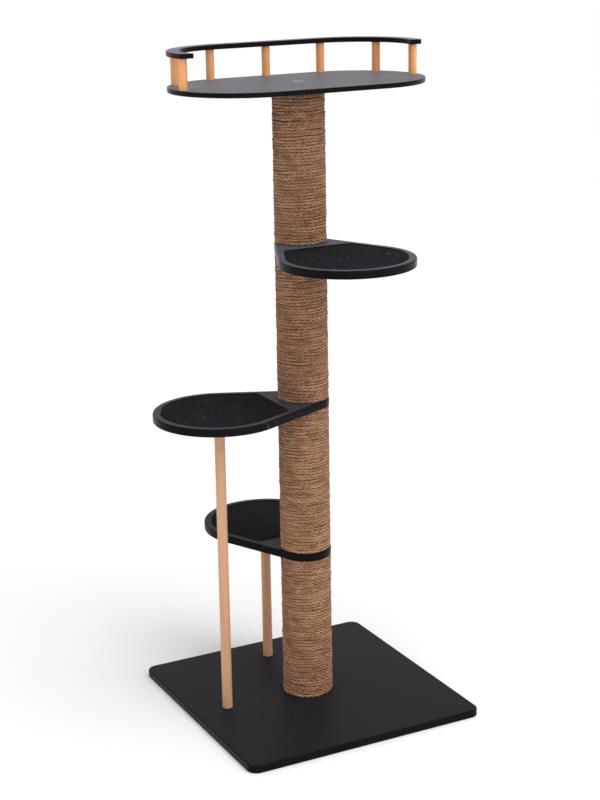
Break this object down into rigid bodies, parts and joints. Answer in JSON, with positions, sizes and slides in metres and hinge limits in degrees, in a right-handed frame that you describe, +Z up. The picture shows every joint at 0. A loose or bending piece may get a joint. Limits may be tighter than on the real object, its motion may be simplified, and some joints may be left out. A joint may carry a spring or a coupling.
{
  "type": "cat tree",
  "caption": "Tall cat tree: rope-wrapped column on a square base, teardrop platforms turned round it on thin wooden legs, and a railed top platform.",
  "frame": {"origin": "centre of the base plate's underside, on the column's axis", "axes": "+Z up the column; the base plate's sides lie along X and Y; the low, middle and high platforms point along +Y, -X and -Y; the rail's closed back faces +Y"},
  "size_m": [0.555, 0.61, 1.294],
  "materials": {
    "black_board": "matt charcoal-black coated board with a faint satin sheen",
    "black_felt": "needle felt, no sheen",
    "jute_rope": "coarse twisted jute, matt, with loose fibres",
    "paper_tube": "dark wound paper tube",
    "cap_wood": "raw board",
    "leg_wood": "oiled beech, satin",
    "rail_post_wood": "oiled beech, satin",
    "black_steel": "blackened steel",
    "zinc_steel": "bright zinc plate"
  },
  "bodies": {
    "stand": {"base_bolt": "zinc_steel", "base_bolt_washer": "zinc_steel", "base_plate": "black_board", "high_platform": "black_board", "joining_stud_1": "zinc_steel", "joining_stud_2": "zinc_steel", "joining_stud_3": "zinc_steel", "leg_foot_screws": "zinc_steel", "leg_top_screws": "zinc_steel", "low_leg": "leg_wood", "low_platform": "black_board", "middle_leg": "leg_wood", "middle_platform": "black_board", "post_1_foot_cap": "cap_wood", "post_1_head_cap": "cap_wood", "post_1_rope": "jute_rope", "post_1_tube": "paper_tube", "post_2_foot_cap": "cap_wood", "post_2_head_cap": "cap_wood", "post_2_rope": "jute_rope", "post_2_tube": "paper_tube", "post_3_foot_cap": "cap_wood", "post_3_head_cap": "cap_wood", "post_3_rope": "jute_rope", "post_3_tube": "paper_tube", "post_4_foot_cap": "cap_wood", "post_4_head_cap": "cap_wood", "post_4_rope": "jute_rope", "post_4_tube": "paper_tube", "post_threaded_inserts": "zinc_steel", "rail": "black_board", "rail_post_1": "rail_post_wood", "rail_post_2": "rail_post_wood", "rail_post_3": "rail_post_wood", "rail_post_4": "rail_post_wood", "rail_post_5": "rail_post_wood", "rail_post_6": "rail_post_wood", "rail_post_7": "rail_post_wood", "rail_screws": "zinc_steel", "top_bolt": "black_steel", "top_platform": "black_board"},
    "low_pad": {"low_pad": "black_felt"},
    "middle_pad": {"middle_pad": "black_felt"},
    "high_pad": {"high_pad": "black_felt"}
  },
  "joints": [
    {"name": "low_pad_lift", "type": "slide", "parent": "stand", "child": "low_pad", "axis": [0, 0, 1], "range_m": [0, 0.06]},
    {"name": "middle_pad_lift", "type": "slide", "parent": "stand", "child": "middle_pad", "axis": [0, 0, 1], "range_m": [0, 0.06]},
    {"name": "high_pad_lift", "type": "slide", "parent": "stand", "child": "high_pad", "axis": [0, 0, 1], "range_m": [0, 0.06]}
  ]
}
